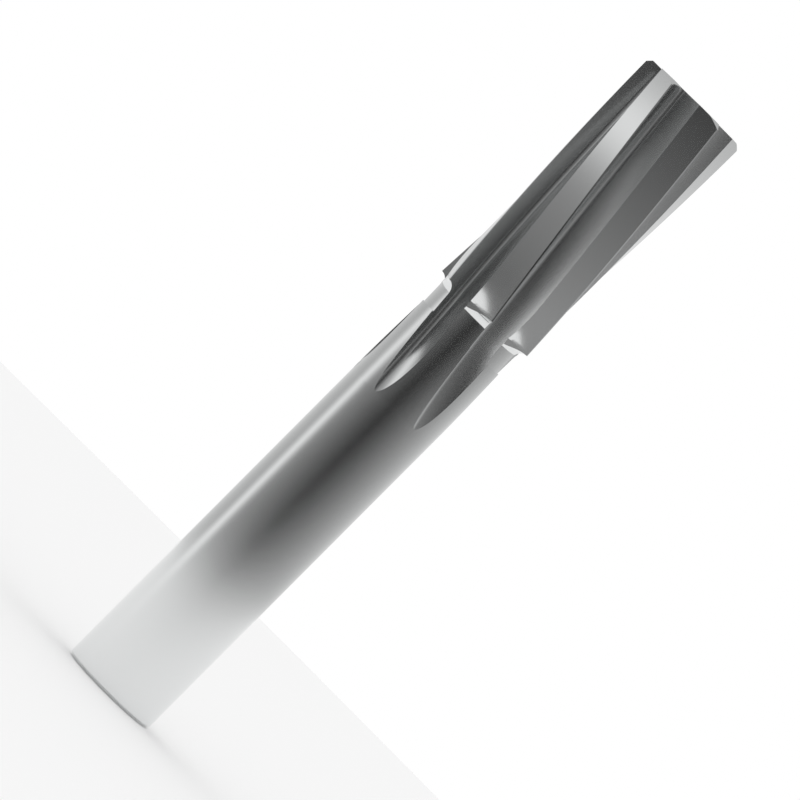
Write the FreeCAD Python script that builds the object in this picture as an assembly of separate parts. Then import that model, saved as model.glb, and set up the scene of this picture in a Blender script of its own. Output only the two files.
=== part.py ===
import FreeCAD, Part
import math
import os

# A solid carbide machine reamer with six left-hand helical flutes, for right-hand cutting. It stands on its
# flat shank end: the axis is Z, the shank end is at Z = 0 and the cutting end is up. Millimetres and degrees.

# Lengths along the axis
overall_length = 91.0
cutting_length = 32.6  # from the front face down to the step
neck_length = 3.7  # from the step down to the end of the shank
shank_chamfer = 0.4
lead_chamfer = 0.53  # the 45 degree bevel lead that cuts
step_fillet_radius = 1.2  # left by the wheel corner where the neck meets the lands

# Diameters
cutting_diameter = 14.0
shank_diameter = 12.0
neck_clearance = 0.2  # how far the neck lies below the shank

# Lands and flutes, in a section across the axis
flute_count = 6
margin_width = 0.18  # narrow round land behind each cutting edge
heel_angle = 28.0  # from the cutting edge back to the heel
heel_drop = 0.7  # how far the heel lies below the cutting circle
relief_dig = 0.4  # how much further down the heel lies at the step, where the relief wheel leaves the land
relief_dig_length = 5.0  # how far above the step that starts
flute_depth = 2.25  # from the cutting circle to the root
root_radius = 0.65  # between the rake face and the flute bottom

# The helix, and the wheel that grinds the flutes
helix_lead = 315.0  # axial length of one full left-hand turn
front_edge_angle = -116.7  # where one cutting edge meets the front face, about Z from +X
full_depth_overrun = 2.05  # how far the flutes keep their full depth below the step
wheel_radius = 60.0  # the flutes rise out of the shank along this arc

# The cutting bodies
overrun = 1.0  # how far they reach past what they cut
section_pitch = 2.0  # most axial distance between two of their sections

# Derived
cutting_radius = cutting_diameter / 2
shank_radius = shank_diameter / 2
heel_radius = cutting_radius - heel_drop
neck_radius = min(shank_radius - neck_clearance, heel_radius - relief_dig)
root_depth_radius = cutting_radius - flute_depth
step_z = overall_length - cutting_length
neck_z = step_z - neck_length
step_fillet = min(step_fillet_radius, cutting_radius - neck_radius, neck_length)
tooth_angle = 360.0 / flute_count
clear_radius = max(cutting_radius, shank_radius) + overrun


def vector(x, y, z=0.0):
    """A point or a direction."""
    return FreeCAD.Vector(x, y, z)


def polar(radius, angle):
    """The point of a section at this radius and angle."""
    turn = math.radians(angle)
    return vector(radius * math.cos(turn), radius * math.sin(turn))


def chain(points):
    """Straight edges from point to point, leaving out any of no length."""
    pairs = zip(points, points[1:])
    return [Part.makeLine(a, b) for a, b in pairs if a.distanceToPoint(b) > 1e-6]


def arc(centre, radius, start_angle, end_angle):
    """An arc about a centre of the section plane, from one angle to the other."""
    middle_angle = (start_angle + end_angle) / 2
    angles = (start_angle, middle_angle, end_angle)
    return Part.Arc(*(centre + polar(radius, angle) for angle in angles)).toShape()


def make_blank():
    """The round blank, as one revolution: shank, neck, filleted step, cutting cylinder and both chamfers."""
    fillet_start = vector(neck_radius, step_z - step_fillet)
    fillet_end = vector(neck_radius + step_fillet, step_z)
    fillet_centre = vector(neck_radius + step_fillet, step_z - step_fillet)
    lower = [
        vector(0, 0),
        vector(shank_radius - shank_chamfer, 0),
        vector(shank_radius, shank_chamfer),
        vector(shank_radius, neck_z),
        vector(neck_radius, neck_z),
        fillet_start,
    ]
    upper = [
        fillet_end,
        vector(cutting_radius, step_z),
        vector(cutting_radius, overall_length - lead_chamfer),
        vector(cutting_radius - lead_chamfer, overall_length),
        vector(0, overall_length),
        vector(0, 0),
    ]
    fillet = arc(fillet_centre, step_fillet, 180, 90)
    outline = Part.Wire(chain(lower) + [fillet] + chain(upper))
    outline.rotate(vector(0, 0), vector(1, 0), 90)
    return Part.Face(outline).revolve(vector(0, 0), vector(0, 0, 1), 360)


def rising(z):
    """How far the flute wheel has risen out of its full depth at this height."""
    run = max(step_z - full_depth_overrun - z, 0.0)
    return wheel_radius - math.sqrt(wheel_radius**2 - run**2)


def flute_section(z):
    """
    The hollow between one tooth's rake face and the next tooth's heel, with the cutting edge on +X.

    The radial rake face runs down +X into the root arc. The flute bottom is one arc that leaves the root arc
    smoothly and passes through the next heel, and past the heel it runs straight on, out of the blank. Where
    the wheel rises, the whole hollow moves outwards along its middle.
    """
    root = vector(math.sqrt(root_depth_radius**2 - root_radius**2), root_radius)
    root_centre = root + vector(root_radius, 0)
    heel = polar(heel_radius, tooth_angle - heel_angle)
    rise = heel - root
    bottom_radius = rise.Length**2 / (2 * rise.x)
    bottom_centre = root + vector(bottom_radius, 0)
    bottom_turn = math.degrees(math.asin(rise.y / bottom_radius) + overrun / bottom_radius)
    bottom_end = bottom_centre + polar(bottom_radius, 180 - bottom_turn)
    way_out = polar(1, 90 - bottom_turn)
    reach = bottom_end.dot(way_out)
    to_outside = math.sqrt(clear_radius**2 - bottom_end.dot(bottom_end) + reach**2) - reach
    outside = bottom_end + way_out * to_outside
    section = Part.Wire(
        chain([vector(clear_radius, 0), vector(root_centre.x, 0)])
        + [
            arc(root_centre, root_radius, 270, 180),
            arc(bottom_centre, bottom_radius, 180, 180 - bottom_turn),
        ]
        + chain([bottom_end, outside, vector(clear_radius, outside.y), vector(clear_radius, 0)])
    )
    section.translate(polar(rising(z), (tooth_angle - heel_angle) / 2))
    return section


def relief_section(z):
    """
    What is ground off behind one cutting edge, with the edge on +X.

    The flat relief runs from the back of the round margin down to the heel, and on past both. Close above the
    step its heel side goes deeper.
    """
    nearness = min(max(1 - (z - step_z) / relief_dig_length, 0.0), 1.0)
    margin_end = polar(cutting_radius, -math.degrees(margin_width / cutting_radius))
    heel = polar(heel_radius - relief_dig * nearness**2, -heel_angle)
    along = (heel - margin_end).normalize()
    outward = vector(-along.y, along.x)
    near = margin_end - along * overrun
    far = heel + along * overrun
    height = outward * (clear_radius - heel_radius + overrun)
    corners = [near, far, far + height, near + height, near]
    return Part.Wire(chain(corners))


def levels(bottom, top):
    """Evenly spaced heights from bottom to top."""
    count = math.ceil((top - bottom) / section_pitch)
    return [bottom + (top - bottom) * i / count for i in range(count + 1)]


def helix_angle_at(z):
    """The angle about Z of the first cutting edge at this height."""
    return front_edge_angle + 360.0 * (overall_length - z) / helix_lead


def twisted(section_at, bottom):
    """The section along the left-hand helix, from this height up past the front face, as one solid."""
    wires = []
    for z in levels(bottom, overall_length + overrun):
        wire = section_at(z)
        wire.rotate(vector(0, 0), vector(0, 0, 1), helix_angle_at(z))
        wire.translate(vector(0, 0, z))
        wires.append(wire)
    return Part.makeLoft(wires, True)


def make_flute():
    """One flute, down to where the wheel has left the shank."""
    rise_out = max(shank_radius - root_depth_radius, 0.0) + overrun / 2
    run_out = math.sqrt(wheel_radius**2 - (wheel_radius - rise_out) ** 2)
    return twisted(flute_section, step_z - full_depth_overrun - run_out)


def make_relief():
    """One relief, down into the neck, where it runs clear."""
    return twisted(relief_section, step_z - (neck_length + step_fillet) / 2)


def around(shape):
    """The shape once for each tooth."""
    copies = []
    for i in range(flute_count):
        copy = shape.copy()
        copy.rotate(vector(0, 0), vector(0, 0, 1), i * tooth_angle)
        copies.append(copy)
    return copies


def make_reamer():
    """The blank with its flutes and reliefs ground in."""
    return make_blank().cut(around(make_relief())).cut(around(make_flute()))


reamer = make_reamer()
print("reamer:", len(reamer.Solids), "solid,", len(reamer.Faces), "faces,", round(reamer.Volume, 1), "mm3")
os.makedirs("parts", exist_ok=True)
reamer.exportStep("parts/reamer.step")
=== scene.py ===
# %% [markdown]
# # A solid carbide machine reamer
#
# A reamer finishes a drilled hole to its exact size. This one is ground from one rod of tungsten carbide.
# It has a plain round shank for the holder, a slightly thinner neck, and a longer, thicker cutting part
# with six left-hand helical flutes. Between the flutes stand six lands, and the front corner of each is a
# cutting edge.
#
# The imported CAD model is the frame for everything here. Its sizes are right, but its curved faces are
# flat facets, which a mirror-like ground surface shows at once. So this lesson makes the same shape again
# as one fine mesh, and then gives each ground surface its own finish.

# %% Load the CAD frame
import math

import bmesh
import bpy
import numpy as np
from mathutils import Matrix, Vector
from mathutils.bvhtree import BVHTree


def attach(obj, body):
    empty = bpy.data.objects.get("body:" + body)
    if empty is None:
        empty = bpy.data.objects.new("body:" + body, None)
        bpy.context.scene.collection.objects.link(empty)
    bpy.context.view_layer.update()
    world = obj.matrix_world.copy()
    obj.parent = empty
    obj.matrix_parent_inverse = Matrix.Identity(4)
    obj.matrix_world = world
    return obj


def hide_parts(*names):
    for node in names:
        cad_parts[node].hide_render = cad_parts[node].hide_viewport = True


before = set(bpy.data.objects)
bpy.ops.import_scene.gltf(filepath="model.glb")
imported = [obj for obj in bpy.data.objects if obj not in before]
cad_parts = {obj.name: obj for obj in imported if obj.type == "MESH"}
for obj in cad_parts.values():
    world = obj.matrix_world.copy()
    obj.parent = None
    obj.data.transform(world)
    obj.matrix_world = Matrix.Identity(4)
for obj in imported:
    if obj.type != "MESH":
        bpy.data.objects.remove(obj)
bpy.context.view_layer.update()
cad_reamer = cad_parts["reamer"]

# %% [markdown]
# ## Sizes
#
# The reamer stands on its flat shank end, with its axis on Z. These are the sizes of the ground part in
# millimetres. The last line turns the finished mesh into metres, because Blender works in metres.

# %% Sizes of the reamer, in millimetres
OVERALL_LENGTH = 91.0
STEP_Z = 58.4  # the neck ends here and the lands begin
NECK_Z = 54.7  # the shank ends here
SHANK_RADIUS = 6.0
SHANK_CHAMFER = 0.4
NECK_RADIUS = 5.8
STEP_FILLET = 1.2
CUTTING_RADIUS = 7.0
LEAD_CHAMFER = 0.53
TEETH = 6
TOOTH_ANGLE = 360 / TEETH
MARGIN_WIDTH = 0.18
HEEL_ANGLE = 28.0
HEEL_RADIUS = 6.3
RELIEF_DIG = 0.4
RELIEF_DIG_LENGTH = 5.0
ROOT_DEPTH_RADIUS = 4.75
ROOT_RADIUS = 0.65
FULL_DEPTH_Z = STEP_Z - 2.05  # below this height the flute wheel rises
WHEEL_RADIUS = 60.0
HELIX_LEAD = 315.0
FRONT_EDGE_ANGLE = -116.7
MILLIMETRE = 0.001


def direction(angle):
    """The unit vector at this angle, in degrees, in a section of the tool."""
    turn = np.radians(angle)
    return np.stack([np.cos(turn), np.sin(turn)], axis=-1)


def turned(points, angle):
    """Section points turned about the axis by this angle, in degrees."""
    c, s = np.cos(np.radians(angle)), np.sin(np.radians(angle))
    x, y = points[..., 0], points[..., 1]
    return np.stack([x * c - y * s, x * s + y * c], axis=-1)


# %% [markdown]
# ## The flute in a section
#
# A section across one flute has three pieces: the straight rake face that ends at the cutting edge, a
# small root arc left by the corner of the grinding wheel, and a wide arc up to the heel of the next land.
# The wide arc leaves the root arc without a kink, so its centre lies level with the root arc's centre,
# and its radius follows from the chord between its two ends.

# %% Arcs of the flute, with the cutting edge on +X
root_start = np.array([math.sqrt(ROOT_DEPTH_RADIUS**2 - ROOT_RADIUS**2), ROOT_RADIUS])
root_centre = root_start + [ROOT_RADIUS, 0]
heel_point = HEEL_RADIUS * direction(TOOTH_ANGLE - HEEL_ANGLE)
chord = heel_point - root_start
bottom_radius = chord @ chord / (2 * chord[0])
bottom_centre = root_start + [bottom_radius, 0]
lift_direction = direction((TOOTH_ANGLE - HEEL_ANGLE) / 2)
print("flute bottom radius", round(bottom_radius, 3), "mm")

# %% [markdown]
# ## How the flutes run out
#
# The wheel that grinds a flute is a disc of 60 mm radius. Where it leaves the shank its rim rises along
# its own arc, so the flute gets shallower and narrower and ends in a rounded point. In the mesh this is
# the same section, moved outwards, and cut off where it meets the shank. The point is where the root arc
# only just touches the shank's circle.

# %% Height at which the run-outs end
along_lift = root_centre @ lift_direction
touching = SHANK_RADIUS + ROOT_RADIUS  # the root arc's centre is this far out where it only touches the shank
tip_lift = math.sqrt(touching**2 - root_centre @ root_centre + along_lift**2) - along_lift
RUN_OUT_TIP_Z = FULL_DEPTH_Z - math.sqrt(2 * WHEEL_RADIUS * tip_lift - tip_lift**2)
print("flute run-outs end at", round(RUN_OUT_TIP_Z, 2), "mm")


def lift_at(z):
    """How far the wheel has risen: the drop of a circle of the wheel's radius from its top."""
    run = np.clip(FULL_DEPTH_Z - z, 0, FULL_DEPTH_Z - RUN_OUT_TIP_Z)
    return WHEEL_RADIUS - np.sqrt(WHEEL_RADIUS**2 - run**2)


def helix_angle_at(z):
    """The angle of the first cutting edge. Below the run-outs it stays, so the shank's grid is straight."""
    return FRONT_EDGE_ANGLE + 360 * (OVERALL_LENGTH - np.maximum(z, RUN_OUT_TIP_Z)) / HELIX_LEAD


# %% [markdown]
# ## Rows of the mesh
#
# Each row is a height and the radius of the round blank there. A row lies exactly on every crease: both
# chamfers, the shoulder of the neck, and both ends of the step's fillet. The rows are closer together
# where the outline changes quickly, at the points of the run-outs and in the fillet.

# %% Heights and blank radii of the rows
def stretch(start, stop, pitch):
    """Evenly spaced heights from start to stop, both included, at most one pitch apart."""
    return np.linspace(start, stop, math.ceil((stop - start) / pitch) + 1)


shank_rows = stretch(SHANK_CHAMFER, RUN_OUT_TIP_Z, 1.5)
tip_rows = RUN_OUT_TIP_Z + 2.0 * (np.arange(1, 15) / 14) ** 2
lens_rows = stretch(RUN_OUT_TIP_Z + 2.0, NECK_Z, 0.3)[1:]
neck_rows = stretch(NECK_Z, STEP_Z - STEP_FILLET, 0.3)
fillet_turn = np.radians(np.linspace(0, 90, 31))[1:]
land_rows = stretch(STEP_Z, OVERALL_LENGTH - LEAD_CHAMFER, 0.45)[1:]
lead_rows = stretch(OVERALL_LENGTH - LEAD_CHAMFER, OVERALL_LENGTH, 0.06)[1:]

heights = np.concatenate([
    [0.0], shank_rows, tip_rows, lens_rows, neck_rows,
    STEP_Z - STEP_FILLET * (1 - np.sin(fillet_turn)), land_rows, lead_rows,
])
radii = np.concatenate([
    [SHANK_RADIUS - SHANK_CHAMFER],
    np.full(len(shank_rows) + len(tip_rows) + len(lens_rows), SHANK_RADIUS),
    np.full(len(neck_rows), NECK_RADIUS),
    NECK_RADIUS + STEP_FILLET * (1 - np.cos(fillet_turn)),
    np.full(len(land_rows), CUTTING_RADIUS),
    CUTTING_RADIUS - (lead_rows - (OVERALL_LENGTH - LEAD_CHAMFER)),
])
print(len(heights), "rows")

# %% [markdown]
# ## Columns of the mesh
#
# In every row, one tooth has the same columns: down the rake face, round the root arc, up the flute
# bottom, over the flat relief and along the round margin to the next cutting edge. A column that marks a
# crease stays on that crease from the front face to the neck. Where a piece of the outline is cut away by
# the blank's circle, its columns slide together into one point, and equal points are merged at the end.

# %% Where the circle of the blank cuts the arcs of the flute
def half_opening(centre_distance, arc_radius, circle_radius):
    """Half the angle of an arc that lies inside a circle about the axis, by the law of cosines."""
    cosine = (centre_distance**2 + arc_radius**2 - circle_radius**2) / (2 * centre_distance * arc_radius)
    return np.degrees(np.arccos(np.clip(cosine, -1, 1)))


def angle_of(points):
    """The angle of section points about the axis, in degrees."""
    return np.degrees(np.arctan2(points[..., 1], points[..., 0]))


def length_of(points):
    """The distance of section points from the axis."""
    return np.hypot(points[..., 0], points[..., 1])


lift = lift_at(heights)[:, None] * lift_direction
root_centres = root_centre + lift
bottom_centres = bottom_centre + lift
root_open = half_opening(length_of(root_centres), ROOT_RADIUS, radii)
root_from = np.minimum(270, angle_of(root_centres) + 180 + root_open)
root_to = np.maximum(180, angle_of(root_centres) + 180 - root_open)
bottom_open = half_opening(length_of(bottom_centres), bottom_radius, radii)
circle_end = np.minimum(180, angle_of(bottom_centres) + 180 - bottom_open)

# %% [markdown]
# The relief is a flat that runs from the back of the narrow margin down to the heel. In a section it is a
# straight line. It meets the flute's wide arc at the heel, and close above the step it lies a little
# deeper there, where the relief wheel turned away from the land.

# %% Where the relief line meets the flute and the blank's circle
def first_crossing(start, along, radius):
    """How far along lines they first meet a circle about the axis: the chord's middle less half of it."""
    middle = -(along @ start)
    return middle - np.sqrt(np.maximum(radius**2 - start @ start + middle**2, 0))


nearness = np.clip(1 - (heights - STEP_Z) / RELIEF_DIG_LENGTH, 0, 1)
heel_radii = HEEL_RADIUS - RELIEF_DIG * nearness**2
margin_end = CUTTING_RADIUS * direction(TOOTH_ANGLE - math.degrees(MARGIN_WIDTH / CUTTING_RADIUS))
down_relief = heel_radii[:, None] * direction(TOOTH_ANGLE - HEEL_ANGLE) - margin_end
down_relief /= length_of(down_relief)[:, None]
to_heel = first_crossing(margin_end - bottom_centre, down_relief, bottom_radius)
to_crease = np.clip(first_crossing(margin_end, down_relief, radii), 0, to_heel)
heels = margin_end + to_heel[:, None] * down_relief
heel_end = np.where(heights > NECK_Z, angle_of(heels - bottom_centre), 0)
relieved = heel_end > circle_end
front_relief, step_relief = to_heel[-1], to_heel[relieved][0]
print(f"relief length {front_relief:.3f} mm, and {step_relief:.3f} mm at the step")


# %% [markdown]
# Now each piece of the outline is a whole array of points: a row of the array is a row of the mesh, and
# its columns run evenly from the start of that piece to its end. The last point of a piece is the first
# point of the next one, so each piece leaves its own last point out.

# %% The outline of one tooth in every row
def columns(start, stop, count):
    """Values that go evenly from start towards stop, in count columns, without the last."""
    start, stop = np.broadcast_arrays(start, stop)
    share = (np.arange(count) / count).reshape((1, count) + (1,) * (start.ndim - 1))
    return start[:, None] + (stop - start)[:, None] * share


def on_circles(centres, radius, angles):
    """Points on circles: the centre of each row, and from it the radius in the direction of each angle."""
    return centres[:, None] + np.reshape(radius, (-1, 1, 1)) * direction(angles)


RAKE_COLUMNS = 5
ROOT_COLUMNS = 18
BOTTOM_COLUMNS = 16
RELIEF_COLUMNS = 6
MARGIN_COLUMNS = 14

rake_foot = root_centres + ROOT_RADIUS * direction(root_from)
edge_distance = np.sqrt(radii**2 - lift[:, 1] ** 2)
cutting_edge = np.where(root_from[:, None] < 270, rake_foot, np.stack([edge_distance, lift[:, 1]], axis=-1))
root_end = root_centres + ROOT_RADIUS * direction(root_to)
bottom_end = bottom_centres + bottom_radius * direction(np.maximum(circle_end, heel_end))
flute_end = np.where(root_to[:, None] > 180, root_end, bottom_end)
crease = np.where(relieved[:, None], margin_end + to_crease[:, None] * down_relief, flute_end)

rake = columns(cutting_edge, rake_foot, RAKE_COLUMNS)
root = on_circles(root_centres, ROOT_RADIUS, columns(root_from, root_to, ROOT_COLUMNS))
bottom_to = np.maximum(circle_end, heel_end)
bottom = on_circles(bottom_centres, bottom_radius, columns(180.0, bottom_to, BOTTOM_COLUMNS))
bottom = np.where(root_to[:, None, None] > 180, root_end[:, None], bottom)
relief = columns(flute_end, crease, RELIEF_COLUMNS)
on_axis = np.zeros((len(radii), 2))
next_edge = TOOTH_ANGLE + angle_of(cutting_edge)
margin = on_circles(on_axis, radii, columns(angle_of(crease), next_edge, MARGIN_COLUMNS))

pieces = {"rake": rake, "root": root, "bottom": bottom, "relief": relief, "margin": margin}
tooth = np.concatenate(list(pieces.values()), axis=1)
tooth *= np.minimum(1, radii[:, None] / length_of(tooth))[..., None]
column_piece = np.repeat(list(pieces), [piece.shape[1] for piece in pieces.values()])
print("columns of one tooth:", {name: piece.shape[1] for name, piece in pieces.items()})

# %% [markdown]
# The six teeth are the same columns turned by 60 degrees each, and every row is turned along the
# left-hand helix. The grid becomes four-sided faces between neighbouring rows and columns, and the two
# flat ends are one face each. Equal points are merged, so the sides that slid together become the points
# of the run-outs.

# %% Build the reamer's mesh
outline = np.concatenate([turned(tooth, i * TOOTH_ANGLE) for i in range(TEETH)], axis=1)
outline = turned(outline, helix_angle_at(heights)[:, None])
rows, count = outline.shape[:2]
row_heights = np.broadcast_to(heights[:, None, None], (rows, count, 1))
points = np.concatenate([outline, row_heights], axis=2) * MILLIMETRE
number = np.arange(rows * count).reshape(rows, count)
ahead = np.roll(number, -1, axis=1)
quads = np.stack([number[:-1], ahead[:-1], ahead[1:], number[1:]], axis=-1).reshape(-1, 4)
ends = [number[0, ::-1].tolist(), number[-1].tolist()]

FINISHES = ["shank", "flute", "land", "front", "shank_end"]
row_middle = (heights[1:] + heights[:-1]) / 2
quad_finish = np.full((rows - 1, count), FINISHES.index("shank"))
quad_finish[row_middle > NECK_Z] = FINISHES.index("land")
quad_finish[:, np.isin(np.tile(column_piece, TEETH), ["rake", "root", "bottom"])] = FINISHES.index("flute")
quad_finish[row_middle < SHANK_CHAMFER] = FINISHES.index("shank_end")
finish_numbers = np.concatenate([quad_finish.ravel(), [FINISHES.index("shank_end"), FINISHES.index("front")]])

MERGE_DISTANCE = 0.0005 * MILLIMETRE
mesh = bpy.data.meshes.new("ground_reamer")
mesh.from_pydata(points.reshape(-1, 3).tolist(), [], quads.tolist() + ends)
mesh.polygons.foreach_set("material_index", finish_numbers.astype(np.int32))
work = bmesh.new()
work.from_mesh(mesh)
bmesh.ops.remove_doubles(work, verts=work.verts, dist=MERGE_DISTANCE)
open_edges = sum(len(edge.link_faces) != 2 for edge in work.edges)
volume = work.calc_volume(signed=True) / MILLIMETRE**3
work.to_mesh(mesh)
work.free()
print(len(mesh.vertices), "points and", len(mesh.polygons), "faces")
print(open_edges, "open edges,", round(volume, 1), "mm3")

# %% [markdown]
# Ground surfaces are smooth, and the edges between them are sharp. The smallest real angle between two of
# them is about 12 degrees, at the points of the run-outs, while neighbouring faces on one surface differ
# by 5 degrees at most. So every edge over 8 degrees is marked sharp, and the rest are shaded smooth.

# %% Smooth surfaces and sharp edges
SHARP_ANGLE = math.radians(8)
mesh.shade_smooth()
mesh.set_sharp_from_angle(angle=SHARP_ANGLE)
reamer = bpy.data.objects.new("ground_reamer", mesh)
bpy.context.collection.objects.link(reamer)
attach(reamer, "root")
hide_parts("reamer")

# %% Compare the mesh with the CAD model
cad_surface = BVHTree.FromPolygons(
    [v.co for v in cad_reamer.data.vertices], [p.vertices for p in cad_reamer.data.polygons]
)
every_seventh = list(mesh.vertices)[::7]
misses = np.array([cad_surface.find_nearest(v.co)[3] for v in every_seventh]) / MILLIMETRE
print("distance to the CAD surface in mm: largest", misses.max().round(3), "average", misses.mean().round(4))

# %% [markdown]
# ## Finishes
#
# Every surface of the tool is the same ground carbide, a bright grey metal. The wheel that cuts the
# flutes is coarser than the one that finishes the rest, so the flutes scatter light a little more. Each
# ground surface has a material of its own, so that its finish can be changed by itself.

# %% Materials of the ground surfaces
CARBIDE = (0.78, 0.79, 0.79, 1)
FINE_ROUGHNESS = 0.12
FLUTE_ROUGHNESS = 0.18

for name in FINISHES:
    material = bpy.data.materials.new(name)
    material.use_nodes = True
    shader = material.node_tree.nodes["Principled BSDF"]
    shader.inputs["Base Color"].default_value = CARBIDE
    shader.inputs["Metallic"].default_value = 1
    shader.inputs["Roughness"].default_value = FLUTE_ROUGHNESS if name == "flute" else FINE_ROUGHNESS
    mesh.materials.append(material)
print("materials:", [material.name for material in mesh.materials])

# %% [markdown]
# ## Sockets that take part in arithmetic
#
# The studio's light is a formula of direction. Blender works formulas out with Math nodes, one for each
# operation, and linking them by hand is long to write and hard to read. This class wraps a node's output,
# so that an ordinary Python expression adds its nodes by itself.

# %% The socket class
class Value:
    """An output of a node in a node tree. An expression on values adds its Math nodes."""

    def __init__(self, tree, socket=None):
        self.tree = tree
        self.socket = socket

    def node(self, kind, settings, inputs, output=0):
        """The output of a new node: its settings come first, then a value or a link for its inputs."""
        made = self.tree.nodes.new(kind)
        for name, setting in settings.items():
            setattr(made, name, setting)
        for key, value in inputs.items():
            if isinstance(value, Value):
                self.tree.links.new(value.socket, made.inputs[key])
            else:
                made.inputs[key].default_value = value
        return Value(self.tree, made.outputs[output] if len(made.outputs) else None)

    def maths(self, operation, *values):
        """A Math node with this operation on these values."""
        return self.node("ShaderNodeMath", {"operation": operation}, dict(enumerate(values)))

    def __add__(self, other):
        return self.maths("ADD", self, other)

    def __radd__(self, other):
        return self.maths("ADD", other, self)

    def __sub__(self, other):
        return self.maths("SUBTRACT", self, other)

    def __rsub__(self, other):
        return self.maths("SUBTRACT", other, self)

    def __mul__(self, other):
        return self.maths("MULTIPLY", self, other)

    def __rmul__(self, other):
        return self.maths("MULTIPLY", other, self)

    def __truediv__(self, other):
        return self.maths("DIVIDE", self, other)

    def __pow__(self, other):
        return self.maths("POWER", self, other)

    def __neg__(self):
        return self.maths("MULTIPLY", self, -1)

    def __abs__(self):
        return self.maths("ABSOLUTE", self)


# %% [markdown]
# ## The studio
#
# A ground metal surface has hardly any tone of its own: it shows the room. The room is a plain white
# tent, open on the camera's side. Its light grows with the angle away from the camera, from the dark
# opening to white behind the tool, and one soft strip light stands at the left. Only reflections see the
# opening. The camera sees a white background, and the light that falls on the floor is even.

# %% The world
OPENING_LIGHT = 0.03
TENT_LIGHT = 0.8
TENT_RISE = 1.3
STRIP_AZIMUTH = math.radians(-92)
STRIP_HALF_WIDTH = math.radians(12)
STRIP_LIGHT = 0.5

world = bpy.data.worlds.new("studio")
bpy.context.scene.world = world
world.use_nodes = True
world.node_tree.nodes.clear()
studio = Value(world.node_tree)
ray = studio.node("ShaderNodeTexCoord", {}, {}, "Generated")
ray_x = studio.node("ShaderNodeSeparateXYZ", {}, {0: ray}, "X")
ray_y = studio.node("ShaderNodeSeparateXYZ", {}, {0: ray}, "Y")
azimuth = studio.maths("ARCTAN2", ray_x, -ray_y)
from_strip = (azimuth - STRIP_AZIMUTH) / STRIP_HALF_WIDTH
strip = STRIP_LIGHT * studio.maths("EXPONENT", -(from_strip * from_strip))
tent = OPENING_LIGHT + TENT_LIGHT * (abs(azimuth) / math.pi) ** TENT_RISE
reflected = studio.node("ShaderNodeLightPath", {}, {}, "Is Glossy Ray")
strength = 1 + reflected * (tent + strip - 1)
white = studio.node("ShaderNodeBackground", {}, {"Color": (1, 1, 1, 1), "Strength": strength})
studio.node("ShaderNodeOutputWorld", {}, {"Surface": white})
print("studio nodes:", len(world.node_tree.nodes))

# %% [markdown]
# ## The floor
#
# The tool stands on a sheet of matt white paper. It is a stage piece, so it takes no part in the model.

# %% A sheet of paper under the tool
FLOOR_RADIUS = 0.3
PAPER = (0.95, 0.95, 0.95, 1)

bpy.ops.mesh.primitive_circle_add(vertices=96, radius=FLOOR_RADIUS, fill_type="NGON")
floor = bpy.context.object
floor.name = "floor"
paper = bpy.data.materials.new("paper")
paper.use_nodes = True
paper.node_tree.nodes["Principled BSDF"].inputs["Base Color"].default_value = PAPER
paper.node_tree.nodes["Principled BSDF"].inputs["Roughness"].default_value = 1
floor.data.materials.append(paper)

# %% [markdown]
# ## The camera
#
# The camera looks at the middle of the tool from the front, almost level, and is rolled so that the tool
# lies across the picture from corner to corner. Its lens follows from its distance and the width that it
# should see.

# %% Place the camera
DISTANCE = 0.880
WIDTH_AT_AXIS = 0.0876
ELEVATION = math.radians(1.5)
ROLL = math.radians(44.925)
TARGET = Vector((0.00014, 0, 0.04517))
SENSOR_WIDTH = 36

camera_data = bpy.data.cameras.new("camera")
camera_data.sensor_width = SENSOR_WIDTH
camera_data.lens = SENSOR_WIDTH * DISTANCE / WIDTH_AT_AXIS
camera = bpy.data.objects.new("camera", camera_data)
bpy.context.collection.objects.link(camera)
away = Vector((0, -math.cos(ELEVATION), math.sin(ELEVATION)))
aim = (-away).to_track_quat("-Z", "Y").to_matrix().to_4x4()
camera.matrix_world = Matrix.Translation(TARGET + away * DISTANCE) @ aim @ Matrix.Rotation(ROLL, 4, "Z")
bpy.context.scene.camera = camera
bpy.context.scene.view_settings.view_transform = "Standard"
print("lens", round(camera_data.lens), "mm")
